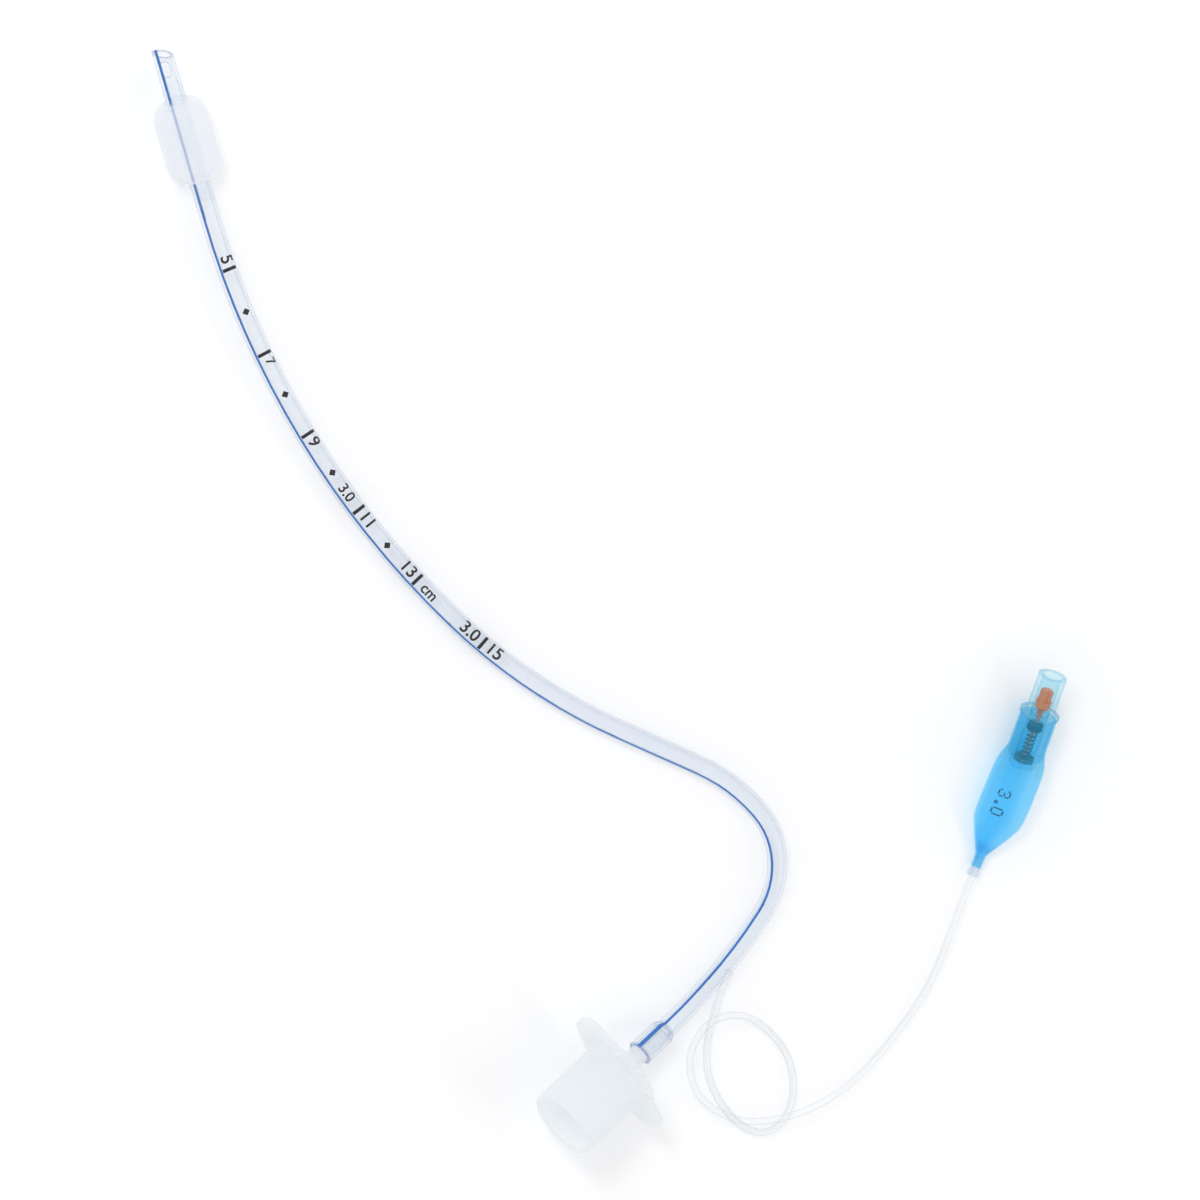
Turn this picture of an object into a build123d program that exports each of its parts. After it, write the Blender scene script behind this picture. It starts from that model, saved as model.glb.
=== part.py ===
from build123d import *
from math import cos, pi, radians, sin, tan
import os

os.makedirs("parts", exist_ok=True)

# All sizes are in millimetres. The tube lies on a floor at z = 0.
# The middle of the laid-out tube and connector is the origin on the floor.
middle_x = -28.379
middle_y = 5.592


def at(x, y, z):
    return Vector(x - middle_x, y - middle_y, z)


# Airway tube: 3.0 mm bore, with a small inflation channel and a line in its wall.
tube_bore_r = 1.5
tube_r = 2.1
channel_r = 0.2
channel_mid_r = 1.8
channel_turn = 120
stripe_turn = -45
stripe_turn_at_end = -48.25
stripe_spread_at_end = 1.15
stripe_key = 0.3
stripe_key_step = 0.06
bed_proud = 0.4
stripe_width = 0.55
stripe_depth = 0.25
seal_length = 8.0
tip = at(-94.02, 124.54, 7.06)
bend_points = [
    at(-68.54, 37.10, 2.6),
    at(-16.09, -17.07, tube_r),
    at(27.44, -39.54, tube_r),
    at(41.40, -56.75, tube_r),
    at(28.89, -75.69, tube_r),
]
bend_radii = [212.0, 135.0, 38.5, 18.5, 98.0, 23.0]
bevel_angle = 48
bevel_turn = -35
eye_from_tip = 4.7
eye_length = 3.4
eye_width = 2.0
eye_turn = -18

# Cuff: a thin balloon between two bonded collars.
cuff_r = 5.68
cuff_film = 0.15
collar_from = 8.9
cuff_from = 12.4
cuff_to = 30.1
collar_to = 35.8
cuff_round = 3.1
port_from_tip = 28.6
port_r = 0.35

# Flared machine end and the 15 mm connector, which tips up at its mouth.
end_heading = -147.0
end_tilt = 20.0
flare_start = at(12.93, -90.63, 4.08)
flare_length = 8.0
flare_step = 1.2
socket_from = 1.5
flare_r = 2.75
end_to_flange = 6.15
nipple_in = 6.2
flange_half = 1.0
flange_r = 8.5
lobe_count = 20
lobe_r = 0.8
lobe_reach = 9.1
lobe_from = -1.0
lobe_thick = 1.4
wing_reach = 14.0
wing_half = 4.7
body_length = 17.0
mouth_r = 7.61
cone_taper = 40.0
body_bore_r = 6.4
bore_from = 2.5
funnel_from = -0.4

# Inflation valve, with its axis tipped up at the syringe end.
valve_heading = 74.0
valve_tilt = 11.0
valve_mouth = at(93.9, -20.4, 7.36)
port_out_r = 3.0
port_bore_r = 2.0
port_length = 8.2
barrel_r = 3.55
collar_step = 0.65
collar_r = barrel_r + collar_step
collar_round = 0.35
collar_thick = 1.1
barrel_to = 18.6
cage_r = 2.75
cage_to = 20.6
seat_from = 10.2
seat_thick = 0.7
seat_hole_r = 0.85
chamber_r = 2.15
press_travel = 1.5
seal_gap = 0.02
seal_r = 1.65
seal_thick = 1.7
stem_r = 0.45
stem_ring_r = 0.7
stem_flange_r = 1.15
stem_flange_thick = 0.35
stem_to = 19.6
head_from = 3.3
head_r = 1.36
head_length = 2.4
skirt_r = 1.6
skirt_length = 1.6
spring_mid_r = 0.95
spring_wire_r = 0.15
spring_turns = 6
spring_seat_from = 18.7
spring_seat_thick = 0.9
spring_seat_hole_r = 0.65

# Pilot balloon, its neck and the clear sleeve in the neck.
balloon_film = 0.3
sleeve_film = 0.4
sleeve_r = barrel_r + sleeve_film
sleeve_to = 17.6
balloon_heading = 248.1
floor_gap = 0.03
balloon_stations = [
    (1.8, 4.95, 3.95),
    (5.5, 5.4, 3.8),
    (12.0, 5.5, 3.6),
    (16.0, 5.2, 3.15),
    (20.0, 3.3, 2.2),
    (23.4, 1.4, 1.2),
]
neck_r = 1.1
neck_film = 0.15
neck_z = 1.35
neck_from = 23.9
neck_to = 26.6
ferrule_from = 24.2
ferrule_to = 28.3
ferrule_flare_r = 1.3
ferrule_flare = 1.4

# Pilot line: a soft clear tube from the notch in the airway tube to the balloon.
line_r = 0.75
line_bore_r = 0.4
line_low = line_r + 0.02
line_high = 3.4
notch_length = 6.0
line_route = [
    at(27.22, -80.29, 0.97),
    at(25.55, -83.60, 0.90),
    at(24.25, -88.30, line_low),
    at(22.40, -94.30, line_low),
    at(22.30, -101.60, line_low),
    at(24.90, -107.90, line_low),
    at(29.30, -113.40, line_low),
    at(34.40, -115.70, line_low),
    at(38.70, -113.40, line_low),
    at(40.80, -108.20, line_low),
    at(40.60, -102.00, line_low),
    at(38.20, -96.40, line_low),
    at(32.50, -90.50, 2.00),
    at(26.60, -88.50, line_high),
    at(21.00, -90.80, line_high),
    at(18.10, -97.40, 2.20),
    at(19.00, -104.00, 2.20),
    at(22.20, -108.30, line_high),
    at(28.80, -111.90, line_high),
    at(35.80, -112.10, line_high),
    at(43.60, -110.30, line_high),
    at(51.20, -107.10, 1.60),
    at(57.80, -101.70, line_low),
    at(66.00, -91.90, line_low),
    at(71.00, -83.60, line_low),
]
line_end_in_neck = 24.6
line_end_run = 11.4


def unit(heading, tilt):
    return Vector(
        cos(radians(tilt)) * cos(radians(heading)),
        cos(radians(tilt)) * sin(radians(heading)),
        sin(radians(tilt)),
    )


def across(direction):
    # Level direction on the left-hand side of a traveller along direction.
    return Vector(-direction.Y, direction.X, 0).normalized()


def around(turn, r):
    # Point of a cross-section: turn is from the top towards the left-hand side.
    return (r * sin(radians(turn)), r * cos(radians(turn)))


end_dir = unit(end_heading, end_tilt)
last_bend = flare_start - end_dir * (flare_start.Z - tube_r) / sin(radians(end_tilt))
tube_end = flare_start + end_dir * flare_length
flange_mid = tube_end + end_dir * end_to_flange
tip_dir = (bend_points[0] - tip).normalized()
tip_plane = Plane(origin=tip, x_dir=across(tip_dir), z_dir=tip_dir)
flare_plane = Plane(origin=flare_start, x_dir=across(end_dir), z_dir=end_dir)
end_plane = Plane(origin=tube_end, x_dir=across(end_dir), z_dir=end_dir)
flange_plane = Plane(origin=flange_mid, x_dir=across(end_dir), z_dir=end_dir)

line_start = line_route[0]
line_dir = (line_route[1] - line_start).normalized()

with BuildLine() as tube_path:
    FilletPolyline(tip, *bend_points, last_bend, flare_start, radius=bend_radii)


def along(plane, distance):
    return Plane(origin=plane.origin + plane.z_dir * distance, x_dir=plane.x_dir, z_dir=plane.z_dir)


def side_view(plane, turn):
    # Plane through the axis: its local x runs along the axis, its local y outwards at turn.
    outward = plane.x_dir * sin(radians(turn)) + plane.y_dir * cos(radians(turn))
    return Plane(origin=plane.origin, x_dir=plane.z_dir, z_dir=plane.z_dir.cross(outward))


def axis_of(plane):
    return Axis(plane.origin, plane.z_dir)


# Slanted cut of the tip: nothing comes off the long side, most off the side opposite.
bevel_rise = 1 / tan(radians(bevel_angle))
with BuildSketch() as bevel_shape:
    with BuildLine():
        Polyline(
            (-2 * tube_r * bevel_rise, 3 * tube_r),
            (4 * tube_r * bevel_rise, -3 * tube_r),
            (-4 * tube_r * bevel_rise, -3 * tube_r),
            close=True,
        )
    make_face()
bevel_cut = bevel_shape.sketch

# Radiopaque stripe, set into the wall and carried over the flared end.
stripe_inner_r = tube_r - stripe_depth
stripe_half_angle = 180 / pi * stripe_width / 2 / tube_r
flare_half_angle = stripe_half_angle * stripe_spread_at_end


def stripe_section(outer_r):
    with BuildSketch() as section:
        Circle(outer_r)
        Circle(stripe_inner_r, mode=Mode.SUBTRACT)
        with BuildLine():
            Polyline(
                (0, 0),
                around(stripe_turn - stripe_half_angle, 2 * outer_r),
                around(stripe_turn + stripe_half_angle, 2 * outer_r),
                close=True,
            )
        make_face(mode=Mode.INTERSECT)
    return section.sketch


def flare_skin():
    # Half section of the flare's outer skin, as deep as the stripe.
    with BuildSketch() as section:
        with BuildLine():
            Polyline(
                (0, stripe_inner_r),
                (0, tube_r),
                (flare_step, flare_r),
                (flare_length, flare_r),
                (flare_length, flare_r - stripe_depth),
                (flare_step, flare_r - stripe_depth),
                close=True,
            )
        make_face()
    return section.sketch


def stripe_key_section():
    # Half section of a thin key that reaches back into the swept stripe.
    with BuildSketch() as section:
        with Locations((-stripe_key / 2, tube_r - stripe_depth / 2)):
            Rectangle(stripe_key, stripe_depth - 2 * stripe_key_step)
    return section.sketch


stripe_flush = stripe_section(tube_r)
stripe_bed = stripe_section(tube_r + bed_proud)
flare_skin_section = flare_skin()
key_section = stripe_key_section()
flare_stripe_arc = 2 * flare_half_angle
flare_stripe_plane = side_view(flare_plane, stripe_turn_at_end + flare_half_angle)
beside_stripe_plane = side_view(flare_plane, stripe_turn_at_end - flare_half_angle)
with BuildPart() as xray_line:
    with BuildSketch(tip_plane):
        add(stripe_flush)
    sweep(path=tube_path.wires()[0])
    with BuildSketch(flare_stripe_plane):
        add(flare_skin_section)
        add(key_section)
    revolve(axis=axis_of(flare_plane), revolution_arc=flare_stripe_arc)
    with BuildSketch(side_view(tip_plane, bevel_turn)):
        add(bevel_cut)
    extrude(amount=2 * tube_r, both=True, mode=Mode.SUBTRACT)
xray_line.part.label = "xray_line"
export_step(xray_line.part, "parts/xray_line.step")

# Airway tube: bevelled tip, side eye, cuff port, notch for the pilot line, flared socket.
with BuildPart() as airway_tube:
    with BuildSketch(tip_plane):
        Circle(tube_r)
        Circle(tube_bore_r, mode=Mode.SUBTRACT)
        with Locations(around(channel_turn, channel_mid_r)):
            Circle(channel_r, mode=Mode.SUBTRACT)
        add(stripe_bed, mode=Mode.SUBTRACT)
    sweep(path=tube_path.wires()[0])
    with BuildSketch(tip_plane):
        with Locations(around(channel_turn, channel_mid_r)):
            Circle(channel_r)
    extrude(amount=seal_length)
    with BuildSketch(side_view(flare_plane, 0)):
        with BuildLine():
            Polyline(
                (0, tube_bore_r),
                (0, stripe_inner_r),
                (flare_step, flare_r - stripe_depth),
                (flare_length, flare_r - stripe_depth),
                (flare_length, tube_r),
                (socket_from, tube_r),
                close=True,
            )
        make_face()
    revolve(axis=axis_of(flare_plane))
    with BuildSketch(beside_stripe_plane):
        add(flare_skin_section)
    revolve(axis=axis_of(flare_plane), revolution_arc=360 - flare_stripe_arc)
    with BuildSketch(side_view(tip_plane, bevel_turn)):
        add(bevel_cut)
    extrude(amount=2 * tube_r, both=True, mode=Mode.SUBTRACT)
    eye_out = side_view(along(tip_plane, eye_from_tip), eye_turn)
    with BuildSketch(Plane(origin=eye_out.origin, x_dir=tip_dir, z_dir=eye_out.y_dir)):
        SlotOverall(eye_length, eye_width)
    extrude(amount=2 * tube_r, mode=Mode.SUBTRACT)
    port_out = side_view(along(tip_plane, port_from_tip), channel_turn)
    with BuildSketch(Plane(origin=port_out.origin + port_out.y_dir * channel_mid_r, z_dir=port_out.y_dir)):
        Circle(port_r)
    extrude(amount=tube_r, mode=Mode.SUBTRACT)
    with BuildSketch(Plane(origin=line_start, z_dir=line_dir)):
        Circle(line_r)
    extrude(amount=notch_length, mode=Mode.SUBTRACT)
    with BuildSketch(flare_stripe_plane):
        add(key_section)
    revolve(axis=axis_of(flare_plane), revolution_arc=flare_stripe_arc, mode=Mode.SUBTRACT)
airway_tube.part.label = "airway_tube"
export_step(airway_tube.part, "parts/airway_tube.step")


def film_outline(outer):
    # Half outline of the cuff's skin: collars, then rounded shoulders up to the barrel.
    shift = 0 if outer else cuff_film
    low = tube_r + cuff_film - shift
    high = cuff_r - shift
    with BuildSketch() as outline:
        with BuildLine():
            Polyline(
                (collar_from, 0),
                (collar_from, low),
                (cuff_from + shift, low),
                (cuff_from + 2 * cuff_film + shift, high),
                (cuff_to - 2 * cuff_film - shift, high),
                (cuff_to - shift, low),
                (collar_to, low),
                (collar_to, 0),
                close=True,
            )
        make_face()
        shoulders = outline.vertices().filter_by(lambda v: v.Y > high - 0.01)
        fillet(shoulders, cuff_round - shift)
    return outline.sketch


# Cuff: film blown out from the tube between its bonded collars.
film_outside = film_outline(True)
film_inside = film_outline(False)
with BuildPart() as cuff:
    with BuildSketch(side_view(tip_plane, 0)):
        add(film_outside)
        add(film_inside, mode=Mode.SUBTRACT)
    revolve(axis=axis_of(tip_plane))
cuff.part.label = "cuff"
export_step(cuff.part, "parts/cuff.step")

# Connector: male cone, wide passage narrowing to the nipple, lobed flange with two wings.
with BuildPart() as connector:
    with BuildSketch(side_view(flange_plane, 0)):
        base_r = mouth_r + (body_length - flange_half) / cone_taper / 2
        nipple_back = end_to_flange + nipple_in
        with BuildLine():
            Polyline(
                (-nipple_back, tube_bore_r),
                (-nipple_back, tube_r - 0.15),
                (-nipple_back + 0.6, tube_r),
                (-flange_half, tube_r),
                (-flange_half, flange_r),
                (flange_half, flange_r),
                (flange_half, base_r),
                (body_length, mouth_r),
                (body_length, body_bore_r),
                (bore_from, body_bore_r),
                (funnel_from, tube_bore_r),
                close=True,
            )
        make_face()
    revolve(axis=axis_of(flange_plane))
    with BuildSketch(along(flange_plane, lobe_from)):
        with PolarLocations(lobe_reach - lobe_r, lobe_count):
            Circle(lobe_r)
        Circle(lobe_reach - lobe_r)
        Circle(flange_r - 0.5, mode=Mode.SUBTRACT)
    extrude(amount=lobe_thick)
    with BuildSketch(along(flange_plane, -flange_half)) as wings:
        for side in (1, -1):
            with BuildLine():
                Polyline(
                    (side * 7.0, -side * wing_half),
                    (side * wing_reach, -side * wing_half),
                    (side * wing_reach, side * (wing_half - 2.6)),
                    (side * (wing_reach - 2.2), side * wing_half),
                    (side * 7.0, side * wing_half),
                    close=True,
                )
            make_face()
        fillet(wings.vertices().filter_by(lambda v: abs(v.X) > 7.5 and abs(v.X) < wing_reach - 0.5), 1.2)
        fillet(wings.vertices().filter_by(lambda v: abs(v.X) > wing_reach - 0.1), 1.6)
    extrude(amount=2 * flange_half)
    mouth_edges = connector.edges().filter_by(GeomType.CIRCLE).sort_by(axis_of(flange_plane))[-2:]
    fillet(mouth_edges, 0.3)
connector.part.label = "connector"
export_step(connector.part, "parts/connector.step")

# Inflation valve. Distances run inwards from its mouth.
valve_dir = unit(valve_heading, valve_tilt)
valve_plane = Plane(origin=valve_mouth, x_dir=across(-valve_dir), z_dir=-valve_dir)
valve_axis = axis_of(valve_plane)
valve_side = side_view(valve_plane, 0)
collar_to_depth = port_length + collar_thick
seat_to = seat_from + seat_thick
with BuildPart() as valve_housing:
    with BuildSketch(valve_side):
        with BuildLine():
            Polyline(
                (0, port_bore_r + 0.12),
                (0, port_out_r),
                (port_length, port_out_r),
                (port_length, collar_r),
                (collar_to_depth, collar_r),
                (collar_to_depth, barrel_r),
                (barrel_to, barrel_r),
                (barrel_to, cage_r),
                (cage_to, cage_r),
                (cage_to, chamber_r),
                (seat_to, chamber_r),
                (seat_to, seat_hole_r),
                (seat_from, seat_hole_r),
                (seat_from, port_bore_r),
                (1.0, port_bore_r),
                close=True,
            )
        make_face()
    revolve(axis=valve_axis)
    collar_edges = valve_housing.edges().filter_by(GeomType.CIRCLE)
    fillet(collar_edges.filter_by(lambda e: abs(e.radius - collar_r) < 0.01), collar_round)
valve_housing.part.label = "valve_housing"
export_step(valve_housing.part, "parts/valve_housing.step")

# Plunger: grooved head that a syringe presses, ringed stem, flange that carries the seal.
head_to = head_from + head_length
skirt_to = head_to + skirt_length
seal_from = seat_to + seal_gap
seal_to = seal_from + seal_thick
flange_to = seal_to + stem_flange_thick
with BuildPart() as valve_plunger:
    with BuildSketch(valve_side):
        with BuildLine():
            Polyline(
                (head_from, 0),
                (head_from, head_r - 0.25),
                (head_from + 0.25, head_r),
                (head_to, head_r),
                (head_to, skirt_r),
                (skirt_to, skirt_r),
                (skirt_to + 0.8, stem_r),
                (seal_to, stem_r),
                (seal_to, stem_flange_r),
                (flange_to, stem_flange_r),
                (flange_to, stem_r),
                (stem_to - 0.3, stem_r),
                (stem_to, stem_r - 0.2),
                (stem_to, 0),
                close=True,
            )
        make_face()
        for ring in (skirt_to + 1.3, skirt_to + 2.1):
            with Locations((ring, stem_ring_r / 2)):
                Rectangle(0.35, stem_ring_r)
    revolve(axis=valve_axis)
    with BuildSketch(along(valve_plane, head_from)):
        with PolarLocations(head_r, 4):
            Circle(0.3)
    extrude(amount=head_length, mode=Mode.SUBTRACT)
valve_plunger.part.label = "valve_plunger"
export_step(valve_plunger.part, "parts/valve_plunger.step")

# Rubber seal on the stem, a hair below its seat.
with BuildPart() as valve_seal:
    with BuildSketch(along(valve_plane, seal_from)):
        Circle(seal_r)
        Circle(stem_r, mode=Mode.SUBTRACT)
    extrude(amount=seal_thick)
    rims = valve_seal.edges().filter_by(GeomType.CIRCLE)
    chamfer(rims.filter_by(lambda e: abs(e.radius - seal_r) < 0.01), 0.2)
valve_seal.part.label = "valve_seal"
export_step(valve_seal.part, "parts/valve_seal.step")

# Return spring between the plunger's flange and the perforated seat.
spring_from = flange_to + spring_wire_r
spring_height = spring_seat_from - spring_wire_r - spring_from
with BuildPart() as valve_spring:
    spring_base = along(valve_plane, spring_from).origin
    with BuildLine() as coil:
        Helix(spring_height / spring_turns, spring_height, spring_mid_r, spring_base, -valve_dir)
    with BuildSketch(Plane(origin=coil.line @ 0, z_dir=coil.line % 0)):
        Circle(spring_wire_r)
    sweep(path=coil.line, is_frenet=True)
valve_spring.part.label = "valve_spring"
export_step(valve_spring.part, "parts/valve_spring.step")

# Perforated disc that closes the chamber and guides the stem.
with BuildPart() as spring_seat:
    with BuildSketch(along(valve_plane, spring_seat_from)):
        Circle(chamber_r)
        Circle(spring_seat_hole_r, mode=Mode.SUBTRACT)
        with PolarLocations(1.4, 4):
            Circle(0.3, mode=Mode.SUBTRACT)
    extrude(amount=spring_seat_thick)
spring_seat.part.label = "spring_seat"
export_step(spring_seat.part, "parts/spring_seat.step")

# Pilot balloon: film sleeve bonded round the valve barrel, a soft body that lies on the
# floor, and a narrow neck. Stations are distance from the sleeve, half width, half height.
sleeve_plane = along(valve_plane, sleeve_to)
balloon_dir = unit(balloon_heading, 0)
neck_start = Vector(sleeve_plane.origin.X, sleeve_plane.origin.Y, neck_z)


def balloon_plane(distance, z):
    spot = neck_start + balloon_dir * distance
    return Plane(origin=(spot.X, spot.Y, z), x_dir=across(balloon_dir), z_dir=balloon_dir)


def balloon_body(shrink, sleeve):
    with BuildPart() as body:
        with BuildSketch(sleeve_plane):
            Circle(sleeve)
        for distance, half_width, half_height in balloon_stations:
            with BuildSketch(balloon_plane(distance, half_height + floor_gap)):
                Ellipse(half_width - shrink, half_height - shrink)
        loft()
    return body.part


balloon_outside = balloon_body(0, sleeve_r)
balloon_inside = balloon_body(balloon_film, barrel_r)
with BuildPart() as pilot_balloon:
    add(balloon_outside)
    with BuildSketch(along(valve_plane, collar_to_depth)):
        Circle(sleeve_r)
    extrude(amount=sleeve_to - collar_to_depth)
    with BuildSketch(balloon_plane(balloon_stations[-1][0] - 0.4, neck_z)):
        Circle(neck_r)
    extrude(amount=neck_to - balloon_stations[-1][0] + 0.4)
    add(balloon_inside, mode=Mode.SUBTRACT)
    with BuildSketch(along(valve_plane, collar_to_depth)):
        Circle(barrel_r)
    extrude(amount=sleeve_to - collar_to_depth, mode=Mode.SUBTRACT)
    with BuildSketch(balloon_plane(balloon_stations[-1][0] - 0.6, neck_z)):
        Circle(neck_r - neck_film)
    extrude(amount=neck_to, mode=Mode.SUBTRACT)
pilot_balloon.part.label = "pilot_balloon"
export_step(pilot_balloon.part, "parts/pilot_balloon.step")

# Clear sleeve in the balloon's neck, flared where the line goes in.
ferrule_plane = balloon_plane(0, neck_z)
with BuildPart() as neck_ferrule:
    with BuildSketch(side_view(ferrule_plane, 0)):
        with BuildLine():
            Polyline(
                (ferrule_from, line_r),
                (ferrule_from, neck_r - neck_film),
                (neck_to + 0.05, neck_r - neck_film),
                (ferrule_to - ferrule_flare / 2, ferrule_flare_r),
                (ferrule_to, ferrule_flare_r),
                (ferrule_to, line_r),
                close=True,
            )
        make_face()
    revolve(axis=axis_of(ferrule_plane))
neck_ferrule.part.label = "neck_ferrule"
export_step(neck_ferrule.part, "parts/neck_ferrule.step")

# Pilot line: it leaves the notch, makes one loop over itself and goes to the neck.
line_end = balloon_plane(line_end_in_neck, neck_z).origin
line_points = line_route + [line_end + balloon_dir * line_end_run, line_end]
runs = [b - a for a, b in zip(line_points, line_points[1:])]
line_radii = []
for before, after in zip(runs, runs[1:]):
    half_turn = radians(before.get_angle(after)) / 2
    line_radii.append(0.45 * min(before.length, after.length) / tan(half_turn))
print("line radii", [round(r, 1) for r in line_radii])
print("line runs", [round(run.length, 1) for run in runs])
with BuildPart() as pilot_line:
    with BuildLine() as line_path:
        FilletPolyline(*line_points, radius=line_radii)
    with BuildSketch(Plane(origin=line_start, z_dir=line_path.wires()[0] % 0)):
        Circle(line_r)
        Circle(line_bore_r, mode=Mode.SUBTRACT)
    sweep(path=line_path.wires()[0])
line_length = line_path.wires()[0].length
section_area = pi * (line_r ** 2 - line_bore_r ** 2)
print("line length", round(line_length, 1))
print("line volume against section times length", pilot_line.part.volume / section_area / line_length)
pilot_line.part.label = "pilot_line"
export_step(pilot_line.part, "parts/pilot_line.step")
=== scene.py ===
import bmesh
import bpy
from math import atan2, ceil, cos, pi, radians, sin, tan
from mathutils import Matrix, Vector
from mathutils.bvhtree import BVHTree


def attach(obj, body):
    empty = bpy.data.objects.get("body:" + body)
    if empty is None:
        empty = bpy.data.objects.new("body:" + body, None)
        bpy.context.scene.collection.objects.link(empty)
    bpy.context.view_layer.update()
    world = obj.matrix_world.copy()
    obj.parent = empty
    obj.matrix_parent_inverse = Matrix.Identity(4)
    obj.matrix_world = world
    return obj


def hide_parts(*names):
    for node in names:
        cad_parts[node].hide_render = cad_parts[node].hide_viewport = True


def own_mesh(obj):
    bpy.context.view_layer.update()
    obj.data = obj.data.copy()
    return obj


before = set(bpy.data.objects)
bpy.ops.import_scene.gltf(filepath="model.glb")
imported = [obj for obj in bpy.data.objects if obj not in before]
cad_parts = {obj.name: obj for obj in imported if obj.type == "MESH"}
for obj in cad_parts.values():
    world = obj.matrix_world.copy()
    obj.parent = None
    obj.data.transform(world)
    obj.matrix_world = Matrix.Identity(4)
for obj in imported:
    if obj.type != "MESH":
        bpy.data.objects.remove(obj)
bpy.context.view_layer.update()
scene = bpy.context.scene
print("frame loaded:", len(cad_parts), "nodes")


def mm(x, y, z):
    return Vector((x, y, z)) / 1000


weld = 1e-6  # metres: points this close become one


def shade(red, green, blue):
    # Display values from 0 to 255, as the linear colour that a shader takes.
    def linear(value):
        value = value / 255
        return value / 12.92 if value <= 0.04045 else ((value + 0.055) / 1.055) ** 2.4

    return (linear(red), linear(green), linear(blue), 1.0)


# Camera: looks down from a little above the left, as the photograph does
view = {
    "right": (0.968246, 0.0, 0.25),
    "up": (0.06455, 0.966092, -0.25),
    "middle": (27.478, -3.57),  # mm to the right and up
    "width": 244.9,  # mm across the picture
    "lens": 1300.0,
    "sensor": 36.0,
}
sideways = Vector(view["right"])
upwards = Vector(view["up"])
towards = sideways.cross(upwards).normalized()
lensData = bpy.data.cameras.new("photoCamera")
lensData.lens = view["lens"]
lensData.sensor_width = view["sensor"]
photoCamera = bpy.data.objects.new("photoCamera", lensData)
scene.collection.objects.link(photoCamera)
reach = view["width"] * view["lens"] / view["sensor"] / 1000
eye = sideways * view["middle"][0] / 1000 + upwards * view["middle"][1] / 1000 + towards * reach
turned = Matrix((sideways, upwards, towards)).transposed().to_4x4()
photoCamera.matrix_world = Matrix.Translation(eye) @ turned
scene.camera = photoCamera
print("camera set")

# Pilot line: soft clear tube that makes one loop over itself
pilotLine = {
    "diameter": 1.5,
    "length": 189.7,
    "order": 3,
    "smoothness": 10,  # steps from one point of the route to the next
    "roundness": 5,
    "route": [
        (55.60, -85.88, 0.97),
        (53.93, -89.19, 0.90),
        (52.63, -93.89, 0.77),
        (50.78, -99.89, 0.77),
        (50.68, -107.19, 0.77),
        (53.28, -113.49, 0.77),
        (57.68, -118.99, 0.77),
        (62.78, -121.29, 0.77),
        (67.08, -118.99, 0.77),
        (69.18, -113.79, 0.77),
        (68.98, -107.59, 0.77),
        (66.58, -101.99, 0.77),
        (60.88, -96.09, 2.00),
        (54.98, -94.09, 3.40),
        (49.38, -96.39, 3.40),
        (46.48, -102.99, 2.20),
        (47.38, -109.59, 2.20),
        (50.58, -113.89, 3.40),
        (57.18, -117.49, 3.40),
        (64.18, -117.69, 3.40),
        (71.98, -115.89, 3.40),
        (79.58, -112.69, 1.60),
        (86.18, -107.29, 0.77),
        (94.38, -97.49, 0.77),
        (99.38, -89.19, 0.77),
        (104.09, -76.00, 1.35),
        (108.34, -65.42, 1.35),
    ],
}


def routeCurve(name, cord):
    data = bpy.data.curves.new(name, "CURVE")
    data.dimensions = "3D"
    spline = data.splines.new("NURBS")
    spline.points.add(len(cord["route"]) - 1)
    for point, place in zip(spline.points, cord["route"]):
        point.co = (*mm(*place), 1.0)
    spline.order_u = cord["order"]
    spline.use_endpoint_u = True
    data.resolution_u = cord["smoothness"]
    data.bevel_depth = cord["diameter"] / 2 / 1000
    data.bevel_resolution = cord["roundness"]
    data.use_fill_caps = True
    piece = bpy.data.objects.new(name, data)
    scene.collection.objects.link(piece)
    return piece


lineTube = routeCurve("pilotLineTube", pilotLine)
print("pilot line laid")


# Paint: a shader's sums are written as Python expressions
class Channel:
    def __init__(self, paint, socket):
        self.paint = paint
        self.socket = socket

    def __add__(self, other):
        return self.paint.sum("ADD", self, other)

    __radd__ = __add__

    def __mul__(self, other):
        return self.paint.sum("MULTIPLY", self, other)

    __rmul__ = __mul__

    def __sub__(self, other):
        return self.paint.sum("SUBTRACT", self, other)

    def __rsub__(self, other):
        return self.paint.sum("SUBTRACT", other, self)

    def __truediv__(self, other):
        return self.paint.sum("DIVIDE", self, other)

    def __pow__(self, other):
        return self.paint.sum("POWER", self, other)

    def __abs__(self):
        return self.paint.sum("ABSOLUTE", self, 0.0)


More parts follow.
